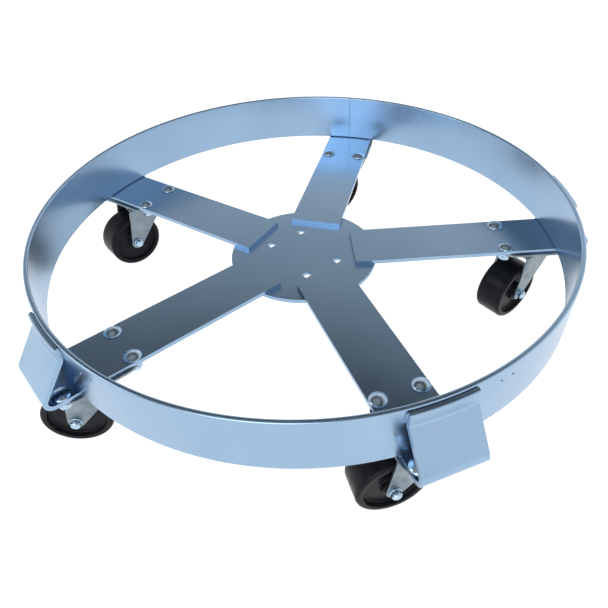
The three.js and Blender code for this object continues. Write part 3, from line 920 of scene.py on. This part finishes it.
def wheel_mesh():
    """Solid moulded wheel: a crowned tread, round shoulders and sides recessed round the hub."""
    half = [(WHEEL_BORE, HUB_HALF_WIDTH - 0.5 * MM), (WHEEL_BORE + 0.5 * MM, HUB_HALF_WIDTH)]
    half += [(HUB_RADIUS - 0.8 * MM, HUB_HALF_WIDTH)]
    half += arc(HUB_RADIUS - 0.8 * MM, HUB_HALF_WIDTH - 0.8 * MM, 0.8 * MM, 70, 0, 3)
    half += arc(HUB_RADIUS + 1.9 * MM, WEB_HALF_WIDTH + 1.8 * MM, 1.8 * MM, 185, 270, 6)
    half += arc(RIM_INNER_RADIUS - 2.3 * MM, WEB_HALF_WIDTH + 1.8 * MM, 1.8 * MM, 270, 350, 6)
    half += arc(RIM_INNER_RADIUS + 1.2 * MM, WHEEL_HALF_WIDTH - 1.1 * MM, 1.1 * MM, 170, 90, 5)
    half += arc(WHEEL_RADIUS - WHEEL_SHOULDER, WHEEL_HALF_WIDTH - WHEEL_SHOULDER,
                WHEEL_SHOULDER, 88, 6, 8)
    half += [(WHEEL_RADIUS - 0.12 * MM, WHEEL_HALF_WIDTH * 0.5), (WHEEL_RADIUS, 0.001 * MM)]
    profile = half + [(radius, -z) for radius, z in reversed(half)]
    return to_mesh("wheel_finish", lathe(profile, 112), smooth_angle=45)


# ---------------------------------------------------------------- assembly

def build_frame():
    """Hoop, centre plate and arms, with their welds."""
    here = Matrix.Identity(4)
    show("hoop_finish", hoop_mesh(), here, BLUE_ZINC, "frame", ["hoop"])
    show("hoop_seam", joined("hoop_seam", seam_meshes()), here, WELD, "frame")
    show("centre_plate_finish", centre_plate_mesh(), here, BLUE_ZINC, "frame", ["centre_plate"])
    arm = arm_mesh()
    welds = joined("arm_welds", arm_weld_meshes())
    for number in range(ARM_COUNT):
        turn = Matrix.Rotation(2 * math.pi * number / ARM_COUNT, 4, "Z")
        show(f"arm_{number}_finish", arm, turn, BLUE_ZINC, "frame", [f"arm_{number}"])
        show(f"arm_{number}_welds", welds, turn, WELD, "frame")


def build_bolts():
    """Twenty carriage bolts with lock washers and nuts, each nut at its own angle."""
    random.seed(4)
    bolt = carriage_bolt_mesh()
    nut = hex_mesh("nut", NUT_APOTHEM, NUT_HEIGHT - WASHER_HEIGHT + 1 * MM, SHANK_RADIUS - 0.3 * MM)
    washer = lock_washer_mesh()
    washer_z = CASTER_PLATE_BOTTOM - WASHER_HEIGHT / 2
    nut_z = CASTER_PLATE_BOTTOM - NUT_HEIGHT - 1 * MM
    for number in range(ARM_COUNT):
        for place in range(4):
            node = f"carriage_bolt_{number}_{place}"
            low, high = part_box(node)
            centre = (low + high) / 2
            spot = Matrix.Translation((centre.x, centre.y, 0))
            show(f"{node}_finish", bolt, spot, BRIGHT_ZINC, "frame", [node])
            spin = Matrix.Rotation(random.uniform(0, 2 * math.pi), 4, "Z")
            show(f"hex_nut_{number}_{place}", nut,
                 spot @ Matrix.Translation((0, 0, nut_z)) @ spin, BRIGHT_ZINC, "frame")
            spin = Matrix.Rotation(random.uniform(0, 2 * math.pi), 4, "Z")
            show(f"lock_washer_{number}_{place}", washer,
                 spot @ Matrix.Translation((0, 0, washer_z)) @ spin, BRIGHT_ZINC, "frame")


def build_casters():
    """Each caster at its kingpin: fixed plate and rivet, turning fork, axle, and rolling wheel."""
    plate = caster_plate_mesh()
    balls = balls_mesh()
    fork = fork_mesh()
    kingpin = kingpin_mesh()
    axle = axle_bolt_meshes()
    sleeve = sleeve_mesh()
    wheel = wheel_mesh()
    for number in range(ARM_COUNT):
        swivel = f"swivel_{number}"
        pin = Vector(JOINTS[f"{swivel}_turn"]["pos_m"])
        roll = JOINTS[f"wheel_{number}_roll"]
        axle_place = Vector(roll["pos_m"])
        arm_turn = Matrix.Rotation(2 * math.pi * number / ARM_COUNT, 4, "Z")
        at_pin = Matrix.Translation((pin.x, pin.y, 0))
        heading = Matrix.Rotation(math.atan2(axle_place.y - pin.y, axle_place.x - pin.x), 4, "Z")
        lie = Vector((0, 0, 1)).rotation_difference(Vector(roll["axis"])).to_matrix().to_4x4()
        at_axle = Matrix.Translation(axle_place) @ lie
        show(f"caster_plate_{number}_finish", plate, at_pin @ arm_turn, ZINC_PLATE, "frame",
             [f"caster_plate_{number}"])
        show(f"kingpin_{number}_finish", kingpin, at_pin, BRIGHT_ZINC, "frame",
             [f"kingpin_{number}"])
        show(f"bearing_balls_{number}", balls, at_pin, BRIGHT_ZINC, swivel)
        show(f"swivel_fork_{number}_finish", fork, at_pin @ heading, ZINC_PLATE, swivel,
             [f"swivel_fork_{number}"])
        show(f"axle_bolt_{number}_finish", axle, at_axle, BRIGHT_ZINC, swivel,
             [f"axle_bolt_{number}"])
        show(f"axle_sleeve_{number}_finish", sleeve, at_axle, BRIGHT_ZINC, swivel,
             [f"axle_sleeve_{number}"])
        show(f"wheel_{number}_finish", wheel, at_axle, BLACK_WHEEL, f"wheel_body_{number}",
             [f"wheel_{number}"])


# ---------------------------------------------------------------- stage, light and camera

FLOOR_HALF_SIDE = 8
FLOOR_GAP = 0.1 * MM
ROOM_UP = (-0.15, 0, 1)
ROOM_LEVELS = [
    (0.0, 1.1), (0.3, 1.1), (0.44, 1.0), (0.5, 0.8), (0.54, 0.6), (0.62, 0.53),
    (0.675, 0.48), (0.71, 0.03), (0.83, 0.03), (0.91, 0.28), (1.0, 0.4),
]
CAMERA_LENS = 34.04
CAMERA_SENSOR = 36
CAMERA_PLACE = (-0.0217, -0.5744, 0.4398)
CAMERA_TURNS = (47.697, 1.891, -3.608)


def build_floor():
    bm = bmesh.new()
    bmesh.ops.create_grid(bm, x_segments=1, y_segments=1, size=FLOOR_HALF_SIDE)
    mesh = bpy.data.meshes.new("studio_floor")
    bm.to_mesh(mesh)
    bm.free()
    mesh.materials.append(FLOOR)
    floor = bpy.data.objects.new("studio_floor", mesh)
    floor.location.z = FLOOR_Z - FLOOR_GAP
    bpy.context.scene.collection.objects.link(floor)


def build_world():
    """A white room, bright round the horizon, with a dark band above that and a grey ceiling. The
    levels run along ROOM_UP, which leans, so that the band stands lower on the left."""
    world = bpy.data.worlds.new("studio")
    world.use_nodes = True
    tree = world.node_tree
    background = tree.nodes["Background"]
    place = tree.nodes.new("ShaderNodeTexCoord")
    height = tree.nodes.new("ShaderNodeVectorMath")
    height.operation = "DOT_PRODUCT"
    height.inputs[1].default_value = ROOM_UP
    node = tree.nodes.new("ShaderNodeValToRGB")
    elements = node.color_ramp.elements
    while len(elements) < len(ROOM_LEVELS):
        elements.new(0.5)
    for element, (position, level) in zip(elements, ROOM_LEVELS):
        element.position = position
        element.color = (level, level, level, 1)
    tree.links.new(place.outputs["Generated"], height.inputs[0])
    tree.links.new(height.outputs["Value"], node.inputs["Fac"])
    tree.links.new(node.outputs["Color"], background.inputs["Color"])
    background.inputs["Strength"].default_value = 1.0
    bpy.context.scene.world = world


def area_light(name, place, size, power):
    """A round lamp aimed at the origin."""
    light = bpy.data.lights.new(name, "AREA")
    light.shape = "DISK"
    light.size = size
    light.energy = power
    lamp = bpy.data.objects.new(name, light)
    lamp.location = place
    lamp.rotation_euler = (-Vector(place)).to_track_quat("-Z", "Y").to_euler()
    bpy.context.scene.collection.objects.link(lamp)


def build_lights():
    area_light("front", (-1.07, -2.64, 1.45), size=2.4, power=37)
    area_light("left", (-2.6, -0.4, 1.7), size=1.2, power=12)


def build_camera():
    camera = bpy.data.cameras.new("camera")
    camera.lens = CAMERA_LENS
    camera.sensor_width = CAMERA_SENSOR
    eye = bpy.data.objects.new("camera", camera)
    eye.location = CAMERA_PLACE
    eye.rotation_euler = [math.radians(turn) for turn in CAMERA_TURNS]
    bpy.context.scene.collection.objects.link(eye)
    bpy.context.scene.camera = eye
    bpy.context.scene.view_settings.view_transform = "Standard"


build_frame()
build_bolts()
build_casters()
build_floor()
build_world()
build_lights()
build_camera()
